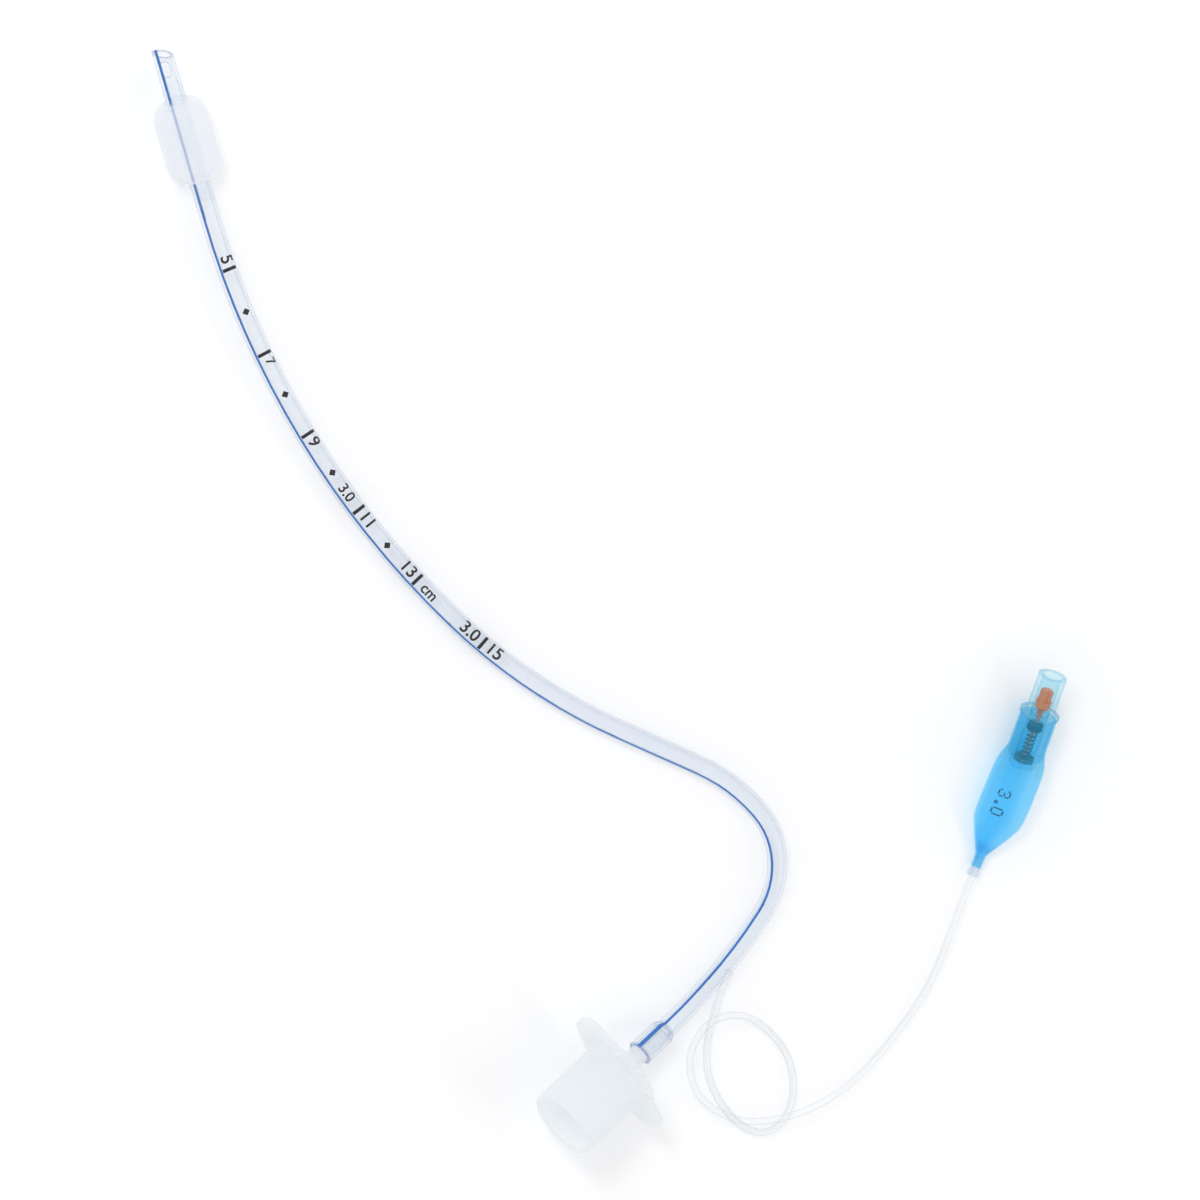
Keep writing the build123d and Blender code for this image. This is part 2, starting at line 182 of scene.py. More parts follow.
class Paint:
    fineDetail = 2.0  # noise layers of a grain, against three of a cloud
    grainDepth = 0.0001  # metres

    def __init__(self, name, makers=bpy.data.materials):
        self.holder = makers.new(name)
        self.holder.use_nodes = True
        self.tree = self.holder.node_tree
        self.tree.nodes.clear()
        self.place = self.node("ShaderNodeTexCoord", out="Object")

    def node(self, kind, settings=None, sockets=None, out=0):
        # The node's output as a channel, or nothing for a last node, whose out is None.
        made = self.tree.nodes.new(kind)
        for name, value in (settings or {}).items():
            setattr(made, name, value)
        for name, value in (sockets or {}).items():
            if isinstance(value, Channel):
                self.tree.links.new(value.socket, made.inputs[name])
            else:
                made.inputs[name].default_value = value
        return None if out is None else Channel(self, made.outputs[out])

    def sum(self, operation, first, second):
        return self.node("ShaderNodeMath", {"operation": operation}, {0: first, 1: second})

    def clamp(self, value):
        return self.node("ShaderNodeClamp", {}, {"Value": value})

    def noise(self, scale, detail=3.0):
        sockets = {"Vector": self.place, "Scale": scale, "Detail": detail}
        return self.node("ShaderNodeTexNoise", {}, sockets, "Fac")

    def grain(self, scale):
        return self.noise(scale, self.fineDetail)

    def blendColour(self, share, first, second):
        sockets = {0: share, 6: first, 7: second}
        return self.node("ShaderNodeMix", {"data_type": "RGBA"}, sockets, 2)

    def bump(self, height, strength, distance=grainDepth):
        sockets = {"Height": height, "Strength": strength, "Distance": distance}
        return self.node("ShaderNodeBump", {}, sockets)

    def facing(self, blend):
        return self.node("ShaderNodeLayerWeight", {}, {"Blend": blend}, "Facing")

    def along(self, origin, direction):
        # Distance from origin along direction, in mm.
        moved = {0: self.place, 1: tuple(origin)}
        offset = self.node("ShaderNodeVectorMath", {"operation": "SUBTRACT"}, moved)
        sockets = {0: offset, 1: tuple(direction)}
        dot = {"operation": "DOT_PRODUCT"}
        return self.node("ShaderNodeVectorMath", dot, sockets, "Value") * 1000

    def band(self, distance, middle, half):
        # One at middle, falling to nothing at half a band away.
        return self.clamp(1.0 - abs((distance - middle) / half))

    def solid(self, sockets):
        return self.node("ShaderNodeBsdfPrincipled", {}, sockets)

    def mixed(self, share, first, second):
        return self.node("ShaderNodeMixShader", {}, {0: share, 1: first, 2: second})

    def clear(self, share, look, scatter, solid):
        # What lies behind, through a tint, mixed with a body that lets some light glow in it.
        lit = self.node("ShaderNodeBsdfTranslucent", {}, {"Color": scatter})
        body = self.mixed(look["glow"], solid, lit)
        behind = self.node("ShaderNodeBsdfTransparent", {}, {"Color": look["tint"]})
        return self.mixed(share, behind, body)

    def finish(self, surface, kind="ShaderNodeOutputMaterial"):
        self.node(kind, {}, {"Surface": surface}, None)
        return self.holder


# What all clear plastic here has in common
clearPlastic = {
    "ior": 1.5,
    "coatRoughness": 0.05,
    "rippleDepth": 0.0002,  # metres
    "hazeRougher": 0.08,
    "thinnest": 0.9,
    "hazeThicker": 0.2,
}


def seeThrough(paint, look, colour, share=0.0):
    # Clear plastic: thin where it is looked through, denser towards its edges.
    facing = paint.facing(look["edge"])
    haze = paint.noise(look["hazeScale"])
    ripple = paint.grain(look["rippleScale"])
    solid = paint.solid(
        {
            "Base Color": colour,
            "Roughness": look["roughness"] + haze * clearPlastic["hazeRougher"],
            "IOR": clearPlastic["ior"],
            "Coat Weight": look["coat"],
            "Coat Roughness": clearPlastic["coatRoughness"],
            "Normal": paint.bump(ripple, look["ripple"], clearPlastic["rippleDepth"]),
        }
    )
    thick = look["least"] + (look["most"] - look["least"]) * facing ** look["power"]
    thick = thick * (clearPlastic["thinnest"] + haze * clearPlastic["hazeThicker"])
    return paint.clear(paint.clamp(thick + share), look, look["body"], solid)


def plainClear(name, look):
    paint = Paint(name)
    return paint.finish(seeThrough(paint, look, look["body"]))


def finishOn(name, material):
    # Puts a finish on a CAD node whose shape stays.
    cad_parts[name].material_slots[0].material = material


# Where the tube's rims and edges lie, in the pose in which the tube is laid out
mould = {
    "endAxis": (-0.7880925, -0.5117933, 0.3420201),
    "flareStart": (41.309, -96.222, 4.08),
    "flareLength": 8.0,
    "tip": (-65.641, 118.948, 7.06),
    "tipAxis": (0.279429, -0.9589198, -0.048911),
    "bevelAt": (-66.774, 118.530, 8.778),
    "bevelFacing": (-0.15331, -0.84573, 0.51112),
    "eyeAt": (-64.328, 114.441, 6.830),
    "eyeFacing": (-0.28366, -0.13111, 0.94992),
    "eyeStraight": 0.7,  # mm, half of the slot between its round ends
    "eyeRadius": 1.0,
}
endAxis = Vector(mould["endAxis"])
tipAxis = Vector(mould["tipAxis"])
tip = mm(*mould["tip"])

# Clear vinyl of the airway tube, with the blue light that gathers at its rims painted into its
# colour as a darker blue
tubeLook = {
    "body": shade(204, 215, 233),
    # darker blue painted at the rims, as the light gathered there
    "paintedRimLight": shade(46, 98, 176),
    "tint": shade(254, 254.6, 255),
    "glow": 0.35,
    "edge": 0.4,
    "least": 0.035,
    "most": 0.85,
    "power": 2.9,
    "roughness": 0.06,
    "coat": 0.6,
    "hazeScale": 60.0,
    "rippleScale": 240.0,
    "ripple": 0.12,
    "stepAt": 0.6,  # mm from the flare's start
    "stepHalf": 1.0,
    "stepShare": 0.7,
    "rimHalf": 0.7,
    "bevelHalf": 0.4,
    "bevelShare": 0.7,
    "eyeHalf": 0.22,
    "eyeShare": 0.5,
    "rimThicker": 0.45,
}


def clearVinyl():
    paint = Paint("clearVinyl")
    fromFlare = paint.along(mm(*mould["flareStart"]), endAxis)
    step = paint.band(fromFlare, tubeLook["stepAt"], tubeLook["stepHalf"])
    paintedRimLight = paint.band(fromFlare, mould["flareLength"], tubeLook["rimHalf"])
    fromBevel = paint.along(mm(*mould["bevelAt"]), mould["bevelFacing"])
    bevel = paint.band(fromBevel, 0.0, tubeLook["bevelHalf"])
    eyeAt = mm(*mould["eyeAt"])
    eyeFacing = Vector(mould["eyeFacing"])
    lengthways = paint.sum("MAXIMUM", abs(paint.along(eyeAt, tipAxis)) - mould["eyeStraight"], 0.0)
    sideways = paint.along(eyeAt, tipAxis.cross(eyeFacing))
    eyeDistance = (lengthways * lengthways + sideways * sideways) ** 0.5
    aboveEye = paint.clamp(paint.along(eyeAt, eyeFacing))
    eyeRim = paint.band(eyeDistance, mould["eyeRadius"], tubeLook["eyeHalf"]) * aboveEye
    # Painted light: a darker blue painted at the flare's step, the end's rim, the bevel and the
    # eye's rim, which also makes the wall denser there
    paintedEdgeLight = step * tubeLook["stepShare"] + paintedRimLight + bevel * tubeLook["bevelShare"]
    paintedEdgeLight = paint.clamp(paintedEdgeLight + eyeRim * tubeLook["eyeShare"])
    colour = paint.blendColour(paintedEdgeLight, tubeLook["body"], tubeLook["paintedRimLight"])
    return paint.finish(seeThrough(paint, tubeLook, colour, paintedEdgeLight * tubeLook["rimThicker"]))


finishOn("airway_tube", clearVinyl())

# Radiopaque line, a little uneven along its length
stripeLook = {
    "light": shade(52, 128, 208),
    "dark": shade(32, 96, 176),
    "unevenScale": 120.0,
    "grainScale": 900.0,
    "grain": 0.15,
    "roughness": 0.28,
    "rougher": 0.15,
}


def stripeBlue():
    paint = Paint("stripeBlue")
    uneven = paint.noise(stripeLook["unevenScale"])
    sockets = {
        "Base Color": paint.blendColour(uneven, stripeLook["light"], stripeLook["dark"]),
        "Roughness": stripeLook["roughness"] + uneven * stripeLook["rougher"],
        "Normal": paint.bump(paint.noise(stripeLook["grainScale"]), stripeLook["grain"]),
    }
    return paint.finish(paint.solid(sockets))


finishOn("xray_line", stripeBlue())

# Milky plastic of the connector
milkyLook = {
    "light": shade(250, 252, 253),
    "dark": shade(240, 244, 246),
    "tint": shade(253, 254, 255),
    "glow": 0.5,
    "cloudScale": 70.0,
    "grainScale": 1400.0,
    "grain": 0.08,
    "roughness": 0.3,
    "rougher": 0.15,
    "thinnest": 0.55,
    "cloudThicker": 0.1,
}


def milkyPlastic():
    paint = Paint("milkyPlastic")
    cloud = paint.noise(milkyLook["cloudScale"])
    grain = paint.grain(milkyLook["grainScale"])
    solid = paint.solid(
        {
            "Base Color": paint.blendColour(cloud, milkyLook["light"], milkyLook["dark"]),
            "Roughness": milkyLook["roughness"] + grain * milkyLook["rougher"],
            "Normal": paint.bump(grain, milkyLook["grain"]),
        }
    )
    thick = paint.clamp(milkyLook["thinnest"] + cloud * milkyLook["cloudThicker"])
    return paint.finish(paint.clear(thick, milkyLook, milkyLook["light"], solid))


# Pilot line and the clear sleeve at its end
lineLook = {
    "body": shade(226, 230, 235),
    "tint": shade(254.6, 254.9, 255),
    "glow": 0.4,
    "edge": 0.5,
    "least": 0.06,
    "most": 0.95,
    "power": 2.2,
    "roughness": 0.1,
    "coat": 0.3,
    "hazeScale": 60.0,
    "rippleScale": 120.0,
    "ripple": 0.05,
}


lineTube.data.materials.append(plainClear("lineVinyl", lineLook))
sleeveLook = dict(lineLook, body=shade(196, 218, 242), least=0.08, most=0.85, coat=0.7)
finishOn("neck_ferrule", plainClear("sleeveVinyl", sleeveLook))

# Valve: tinted housing, pressed by a syringe on the orange plunger
valve = {
    "mouth": (122.279, -25.992, 7.36),
    "outward": (0.2705731, 0.9436006, 0.190809),
    "collar": 8.75,  # mm from the mouth
    "seat": 18.7,
    "springFrom": 12.97,
    "travel": 1.5,
}
valveOut = Vector(valve["outward"])
valveMouth = mm(*valve["mouth"])
housingLook = {
    "body": shade(116, 212, 240),
    # deeper blue painted at the lip and the collar: painted rim light
    "ring": shade(22, 150, 204),
    "tint": shade(244, 253, 255),
    "glow": 0.4,
    "edge": 0.4,
    "least": 0.06,
    "most": 0.8,
    "power": 2.6,
    "roughness": 0.07,
    "coat": 0.7,
    "hazeScale": 150.0,
    "rippleScale": 400.0,
    "ripple": 0.1,
    "lipHalf": 0.4,  # mm
    "lipShare": 0.6,
    "collarHalf": 1.0,
    "ringThicker": 0.3,
}


def housingPlastic():
    paint = Paint("housingPlastic")
    inward = paint.along(valveMouth, -valveOut)
    # Painted rim light: the lip and the collar are painted a deeper blue, and made denser there
    lip = paint.band(inward, 0.0, housingLook["lipHalf"])
    collar = paint.band(inward, valve["collar"], housingLook["collarHalf"])
    paintedEdgeLight = paint.clamp(lip * housingLook["lipShare"] + collar)
    colour = paint.blendColour(paintedEdgeLight, housingLook["body"], housingLook["ring"])
    share = paintedEdgeLight * housingLook["ringThicker"]
    return paint.finish(seeThrough(paint, housingLook, colour, share))


finishOn("valve_housing", housingPlastic())

# Opaque parts of the valve: mottled between two close colours, with a fine grain
mattLooks = {
    "plungerOrange": {
        "light": shade(252, 140, 74),
        "dark": shade(238, 114, 52),
        "scale": 400.0,
        "roughness": 0.35,
        "metallic": 0.0,
    },
    "sealRubber": {
        "light": shade(48, 62, 60),
        "dark": shade(30, 42, 42),
        "scale": 500.0,
        "roughness": 0.55,
        "metallic": 0.0,
    },
    "seatPlastic": {
        "light": shade(132, 112, 92),
        "dark": shade(104, 86, 70),
        "scale": 500.0,
        "roughness": 0.45,
        "metallic": 0.0,
    },
    "springWire": {
        "light": shade(120, 124, 126),
        "dark": shade(78, 82, 84),
        "scale": 900.0,
        "roughness": 0.3,
        "metallic": 0.9,
    },
}
mattGrain = {"finer": 6, "grain": 0.15, "rougher": 0.15}


def matt(name):
    look = mattLooks[name]
    paint = Paint(name)
    mottle = paint.noise(look["scale"])
    grain = paint.grain(look["scale"] * mattGrain["finer"])
    sockets = {
        "Base Color": paint.blendColour(mottle, look["light"], look["dark"]),
        "Roughness": look["roughness"] + grain * mattGrain["rougher"],
        "Metallic": look["metallic"],
        "Normal": paint.bump(grain, mattGrain["grain"]),
    }
    return paint.finish(paint.solid(sockets))


finishOn("valve_plunger", matt("plungerOrange"))
finishOn("valve_seal", matt("sealRubber"))
finishOn("spring_seat", matt("seatPlastic"))


def merged(name, node):
    # A copy of a CAD node's mesh, whose loose triangles are joined first.
    mesh = bmesh.new()
    mesh.from_mesh(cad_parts[node].data)
    bmesh.ops.remove_doubles(mesh, verts=mesh.verts, dist=weld)
    data = bpy.data.meshes.new(name)
    mesh.to_mesh(data)
    mesh.free()
    data.polygons.foreach_set("use_smooth", [True] * len(data.polygons))
    piece = bpy.data.objects.new(name, data)
    scene.collection.objects.link(piece)
    return piece


coilSpring = merged("coilSpring", "valve_spring")
coilSpring.data.materials.append(matt("springWire"))
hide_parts("valve_spring")
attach(coilSpring, "tube_set")
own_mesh(coilSpring)
print("valve finished")


def placed(name, mesh, material, smooth=True, crease=None):
    # Closes a bmesh into a finished piece with its place in its mesh.
    data = bpy.data.meshes.new(name)
    mesh.to_mesh(data)
    mesh.free()
    data.polygons.foreach_set("use_smooth", [smooth] * len(data.polygons))
    if crease:
        data.set_sharp_from_angle(angle=radians(crease))
    data.materials.append(material)
    piece = bpy.data.objects.new(name, data)
    scene.collection.objects.link(piece)
    return piece


def framed(origin, heading, side):
    # Matrix whose z runs along heading and whose x runs towards side.
    z = Vector(heading).normalized()
    x = (Vector(side) - z * z.dot(Vector(side))).normalized()
    return Matrix.Translation(origin) @ Matrix((x, z.cross(x), z)).transposed().to_4x4()


# Connector: male cone and nipple in one turn, joined to a scalloped flange with two paddles
connector = {
    "flangeMid": (30.157, -103.464, 8.920),
    "steps": 128,
    "turned": [  # mm from the flange towards the mouth, radius
        (-12.35, 1.5),
        (-12.35, 1.93),
        (-11.75, 2.08),
        (-1.15, 2.08),
        (-1.0, 2.3),
        (-1.0, 8.2),
        (-0.9, 8.42),
        (-0.7, 8.5),
        (0.7, 8.5),
        (0.94, 8.42),
        (1.04, 8.2),
        (1.2, 7.95),
        (1.6, 7.8),
        (16.6, 7.61),
        (16.88, 7.53),
        (17.0, 7.3),
        (17.0, 6.7),
        (16.9, 6.48),
        (16.6, 6.4),
        (2.5, 6.4),
        (-0.4, 1.5),
    ],
    "scallops": 20,
    "scallopFrom": 8.3,
    "scallopHigh": 0.8,
    "paddleReach": 14.0,
    "paddleHalf": 4.7,
    "paddleSquare": 3.2,  # 2 is an oval, more is squarer
    "blend": 20,
    "rimSteps": 480,
    "halfThick": 0.92,
    "rimRound": 0.3,
    "rimSegments": 3,
    "crease": 38.0,  # degrees
}


def flangeRim(angle):
    # Distance from the axis to the flange's edge, in mm.
    scallop = connector["scallopFrom"]
    scallop += connector["scallopHigh"] * cos(connector["scallops"] / 2 * angle) ** 2
    square = connector["paddleSquare"]
    outward = (abs(cos(angle)) / connector["paddleReach"]) ** square
    upward = (abs(sin(angle)) / connector["paddleHalf"]) ** square
    paddle = (outward + upward) ** (-1 / square)
    blend = connector["blend"]
    return min((scallop ** blend + paddle ** blend) ** (1 / blend), connector["paddleReach"])


def spun(outline, steps, stand, closed=True):
    # Outline of distance along and radius, in mm, spun round the stand's z.
    mesh = bmesh.new()
    points = [mesh.verts.new((radius / 1000, 0, away / 1000)) for away, radius in outline]
    onward = points[1:] + points[:1] if closed else points[1:]
    edges = [mesh.edges.new(pair) for pair in zip(points, onward)]
    bmesh.ops.spin(
        mesh,
        geom=points + edges,
        cent=(0, 0, 0),
        axis=(0, 0, 1),
        angle=2 * pi,
        steps=steps,
        use_merge=True,
    )
    bmesh.ops.remove_doubles(mesh, verts=mesh.verts, dist=weld)
    bmesh.ops.recalc_face_normals(mesh, faces=mesh.faces)
    bmesh.ops.transform(mesh, matrix=stand, verts=mesh.verts)
    return mesh


def flangePlate(stand):
    # Flat disc with the flange's edge, thickened and rounded.
    mesh = bmesh.new()
    bmesh.ops.create_circle(mesh, cap_ends=True, segments=connector["rimSteps"], radius=1.0)
    half = connector["halfThick"] / 1000
    for vert in mesh.verts:
        angle = atan2(vert.co.y, vert.co.x)
        reachOut = flangeRim(angle) / 1000
        vert.co = (reachOut * cos(angle), reachOut * sin(angle), -half)
    rims = list(mesh.edges)
    grown = bmesh.ops.extrude_face_region(mesh, geom=list(mesh.faces))["geom"]
    lifted = [part for part in grown if isinstance(part, bmesh.types.BMVert)]
    rims += [part for part in grown if isinstance(part, bmesh.types.BMEdge)]
    bmesh.ops.translate(mesh, vec=(0, 0, 2 * half), verts=lifted)
    bmesh.ops.bevel(
        mesh,
        geom=rims,
        offset=connector["rimRound"] / 1000,
        segments=connector["rimSegments"],
        profile=0.5,
        affect="EDGES",
        material=-1,
    )
    bmesh.ops.recalc_face_normals(mesh, faces=mesh.faces)
    bmesh.ops.transform(mesh, matrix=stand, verts=mesh.verts)
    return mesh


def joined(name, first, second, material, crease):
    # One closed piece from two that overlap.
    whole = placed(name + "Whole", first, material)
    added = placed(name + "Added", second, material)
    union = whole.modifiers.new("union", "BOOLEAN")
    union.operation = "UNION"
    union.solver = "EXACT"
    union.object = added
    made = whole.evaluated_get(bpy.context.evaluated_depsgraph_get())
    mesh = bmesh.new()
    mesh.from_mesh(made.to_mesh())
    made.to_mesh_clear()
    bpy.data.objects.remove(whole)
    bpy.data.objects.remove(added)
    bmesh.ops.remove_doubles(mesh, verts=mesh.verts, dist=weld)
    return placed(name, mesh, material, crease=crease)


flangeStand = framed(mm(*connector["flangeMid"]), endAxis, (-endAxis.y, endAxis.x, 0))
connectorPiece = joined(
    "connectorBody",
    spun(connector["turned"], connector["steps"], flangeStand),
    flangePlate(flangeStand),
    milkyPlastic(),
    connector["crease"],
)
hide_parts("connector")
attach(connectorPiece, "tube_set")
print("connector moulded")

# Cuff: frosted film, blown out between two bonded collars
cuff = {
    "film": 0.12,
    "steps": 96,
    "collars": (8.9, 35.8),  # mm from the tip
    "barrel": (12.5, 30.0),
    "collarRadius": 2.25,
    "radius": 5.67,
    "shoulder": 4.3,
    "rounding": 9,
    "collarDrop": 0.04,  # how far the collar's edge sinks onto the tube
    "collarRound": 0.1,
    "lip": 0.15,
}


def cuffOutline():
    # Distance from the tip and from the axis: collar, round shoulder, barrel and back.
    low, high = cuff["collarRadius"], cuff["radius"]
    front, back = cuff["barrel"]
    first, last = cuff["collars"]
    climb = []
    for step in range(cuff["rounding"] + 1):
        swing = pi / 2 * step / cuff["rounding"]
        climb.append((cuff["shoulder"] * (1 - cos(swing)), low + (high - low) * sin(swing)))
    edge = low - cuff["collarDrop"]
    return [
        (first, edge),
        (first + cuff["collarRound"], low),
        (front - cuff["lip"], low),
        *((front + away, radius) for away, radius in climb),
        *((back - away, radius) for away, radius in reversed(climb)),
        (back + cuff["lip"], low),
        (last - cuff["collarRound"], low),
        (last, edge),
    ]


frostLook = {
    "light": shade(254, 254, 255),
    "dark": shade(246, 249, 253),
    "tint": shade(254, 254.6, 255),
    "glow": 0.5,
    "clear": 0.05,
    "frosted": 0.3,
    "half": 8.8,  # mm of frosted barrel to either side of its middle
    "fade": 0.6,
    "cloudScale": 140.0,
    "speckScale": 2600.0,
    "speck": 0.2,
    "roughness": 0.62,
    "smoother": 0.3,  # where the film is clear
    "rougher": 0.1,
    "sheen": 0.2,
    "edge": 0.5,
    "power": 3.0,
    "edgeThicker": 0.25,
    "cloudThicker": 0.06,
}


def frostedFilm():
    paint = Paint("frostedFilm")
    fromMiddle = abs(paint.along(tip, tipAxis) - sum(cuff["barrel"]) / 2)
    cloud = paint.noise(frostLook["cloudScale"])
    speck = paint.grain(frostLook["speckScale"])
    barrel = paint.clamp(1.0 - (fromMiddle - frostLook["half"]) / frostLook["fade"])
    rough = frostLook["roughness"] - (1.0 - barrel) * frostLook["smoother"]
    solid = paint.solid(
        {
            "Base Color": paint.blendColour(cloud, frostLook["light"], frostLook["dark"]),
            "Roughness": rough + speck * frostLook["rougher"],
            "Sheen Weight": frostLook["sheen"],
            "Normal": paint.bump(speck, frostLook["speck"]),
        }
    )
    thick = frostLook["clear"] + barrel * (frostLook["frosted"] - frostLook["clear"])
    thick = thick + paint.facing(frostLook["edge"]) ** frostLook["power"] * frostLook["edgeThicker"]
    thick = paint.clamp(thick + (cloud - 0.5) * frostLook["cloudThicker"])
    return paint.finish(paint.clear(thick, frostLook, frostLook["light"], solid))


def walled(piece, thickness):
    # Gives a skin its wall, inwards from its outside.
    wall = piece.modifiers.new("wall", "SOLIDIFY")
    wall.thickness = thickness / 1000
    wall.offset = -1.0


def cuffFilm():
    mesh = spun(cuffOutline(), cuff["steps"], framed(tip, tipAxis, (1, 0, 0)), False)
    piece = placed("cuffFilm", mesh, frostedFilm())
    walled(piece, cuff["film"])
    return piece


cuffPiece = cuffFilm()
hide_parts("cuff")
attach(cuffPiece, "tube_set")
print("cuff blown")

# Pilot balloon: film sleeve round the valve, soft body on the floor, narrow neck
balloon = {
    "film": 0.3,
    "steps": 48,
    "heading": 248.1,
    "sleeve": [(9.35, 3.9), (9.5, 3.95), (11.0, 3.95), (13.5, 3.93), (16.0, 3.95), (17.4, 3.95)],
    "start": (117.517, -42.599),
    "body": [  # mm from the sleeve, half width, half height
        (1.8, 4.93, 3.93),
        (3.4, 5.3, 3.92),
        (5.5, 5.38, 3.78),
        (8.8, 5.42, 3.7),
        (12.0, 5.45, 3.58),
        (15.0, 5.38, 3.26),
        (16.3, 5.08, 3.02),
        (18.2, 4.14, 2.62),
        (20.4, 2.98, 2.02),
        (22.4, 1.84, 1.5),
        (23.3, 1.32, 1.22),
        (23.9, 1.12, 1.1),
        (25.2, 1.08, 1.08),
        (26.5, 1.09, 1.09),
    ],
    "neckHeight": 1.35,
    "floorGap": 0.04,
}
balloonWay = Vector((cos(radians(balloon["heading"])), sin(radians(balloon["heading"])), 0))
balloonSide = Vector((-balloonWay.y, balloonWay.x, 0))
filmLook = {
    # The deeper blue of the middle band is painted shade, and the lighter blue at the sides is
    # painted highlight
    "body": shade(84, 212, 255),
    "side": shade(166, 230, 253),
    "seam": shade(40, 160, 225),
    "tint": shade(232, 250, 255),
    "glow": 0.5,
    "edge": 0.45,
    "least": 0.13,
    "most": 0.8,
    "power": 2.8,
    "roughness": 0.1,
    "coat": 0.7,
    "hazeScale": 120.0,
    "rippleScale": 260.0,
    "ripple": 0.25,
    "sideFrom": 3.0,  # mm from the middle line
    "sideOver": 1.2,
    "sleeveFrom": -0.5,  # mm from the sleeve
    "sleeveOver": 3.0,
    "sideThinner": 0.06,
    "seamAt": 22.6,
    "seamHalf": 2.2,
    "seamShare": 0.6,
    "seamThicker": 0.15,
}


def blueFilm():
    paint = Paint("blueFilm")
    start = mm(*balloon["start"], 0)
    across = abs(paint.along(start, balloonSide))
    down = paint.along(start, balloonWay)
    # Painted highlight and shade: the sides, where the film is also made thinner, are painted a
    # lighter blue than the deeper middle band
    side = paint.clamp((across - filmLook["sideFrom"]) / filmLook["sideOver"])
    side = side * paint.clamp((down - filmLook["sleeveFrom"]) / filmLook["sleeveOver"])
    base = paint.blendColour(side, filmLook["body"], filmLook["side"])
    seam = paint.band(down, filmLook["seamAt"], filmLook["seamHalf"])
    colour = paint.blendColour(seam * filmLook["seamShare"], base, filmLook["seam"])
    share = seam * filmLook["seamThicker"] - side * filmLook["sideThinner"]
    return paint.finish(seeThrough(paint, filmLook, colour, share))


def ring(mesh, matrix, halfWidth, halfHeight):
    # One round or oval ring of the film, as the edges that the next ring is bridged to.
    made = bmesh.ops.create_circle(
        mesh,
        segments=balloon["steps"],
        radius=1 / 1000,
        matrix=Matrix(),
    )
    bmesh.ops.scale(mesh, vec=(halfWidth, halfHeight, 1.0), verts=made["verts"])
    bmesh.ops.transform(mesh, matrix=matrix, verts=made["verts"])
    return list({edge for vert in made["verts"] for edge in vert.link_edges})


def balloonSkin():
    mesh = bmesh.new()
    rings = []
    for inward, radius in balloon["sleeve"]:
        spot = valveMouth - valveOut * inward / 1000
        rings.append(ring(mesh, framed(spot, -valveOut, balloonSide), radius, radius))
    for distance, halfWidth, halfHeight in balloon["body"]:
        height = max(halfHeight + balloon["floorGap"], balloon["neckHeight"])
        spot = mm(*balloon["start"], height) + balloonWay * distance / 1000
        rings.append(ring(mesh, framed(spot, balloonWay, balloonSide), halfWidth, halfHeight))
    for first, second in zip(rings, rings[1:]):
        bmesh.ops.bridge_loops(mesh, edges=first + second)
    bmesh.ops.recalc_face_normals(mesh, faces=mesh.faces)
    piece = placed("balloonSkin", mesh, blueFilm())
    walled(piece, balloon["film"])
    finer = piece.modifiers.new("finer", "SUBSURF")
    finer.levels = finer.render_levels = 1
    return piece


balloonPiece = balloonSkin()
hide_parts("pilot_balloon")
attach(balloonPiece, "tube_set")
print("balloon filled")

# Print on the tube: depth bars every 2 cm from the tip, diamonds between, plain numbers
tubeRun = {
    "corners": [
        (-65.641, 118.948, 7.06),
        (-40.161, 31.508, 2.6),
        (12.289, -22.662, 2.1),
        (55.819, -45.132, 2.1),
        (69.779, -62.342, 2.1),
        (57.269, -81.282, 2.1),
        (45.871, -93.259, 2.1),
        (41.309, -96.222, 4.08),
    ],
    "bends": [212.0, 135.0, 38.5, 18.5, 98.0, 23.0],
    "radius": 2.1,
}
corners = [mm(*corner) for corner in tubeRun["corners"]]


def tubeSpot(distance):
    # Point and heading on the tube's axis: straight runs, with a round bend at each corner.
    here = corners[0]
    left = distance
    for corner, after, bend in zip(corners[1:-1], corners[2:], tubeRun["bends"]):
        radius = bend / 1000
        inward = (corner - here).normalized()
        onward = (after - corner).normalized()
        turn = inward.angle(onward)
        cut = radius * tan(turn / 2)
        straight = (corner - here).length - cut
        if left < straight:
            return here + inward * left, inward
        left -= straight
        inside = (onward - inward * inward.dot(onward)).normalized()
        if left < radius * turn:
            swing = left / radius
            bent = inward * sin(swing) + inside * (1 - cos(swing))
            heading = inward * cos(swing) + inside * sin(swing)
            return corner - inward * cut + bent * radius, heading
        left -= radius * turn
        here = corner + onward * cut
    heading = (corners[-1] - here).normalized()
    return here + heading * left, heading


ink = {
    "thick": 0.02,
    "lift": 0.015,
    "bar": 0.75,
    "barFrom": -34.0,  # degrees round the tube from its top
    "barTo": 56.0,
    "diamond": 1.2,
    "diamondTurn": 8.0,
    "figure": 3.9,
    "bolder": 0.016,  # of the figure's height
    "wrapEvery": 0.22,
    "wrapAcross": 4.0,
    "wrapAlong": 6.0,
    "merge": 0.001,
    "lean": 0.38,  # how far a mark leans along the tube, for each mm of its height
    "colour": shade(26, 24, 24),
}
# Words, mm from the tip to the bar, mm from the bar, degrees round the tube, share of the height
depthFigures = [
    ("5", 50, -2.2, 10.0, 1.0),
    ("7", 70, 2.1, 20.0, 0.8),
    ("9", 90, 2.2, 16.0, 1.0),
    ("3.0", 110, -4.6, 8.0, 0.85),
    ("11", 110, 3.0, 14.0, 1.0),
    ("13", 130, -3.0, 14.0, 1.0),
    ("cm", 130, 3.8, 6.0, 0.85),
    ("3.0", 150, -3.8, 12.0, 1.0),
    ("15", 150, 3.2, 14.0, 1.0),
]
depthBars = [50, 70, 90, 110, 130, 150]  # mm from the tip
depthDiamonds = [60, 80, 100, 120]


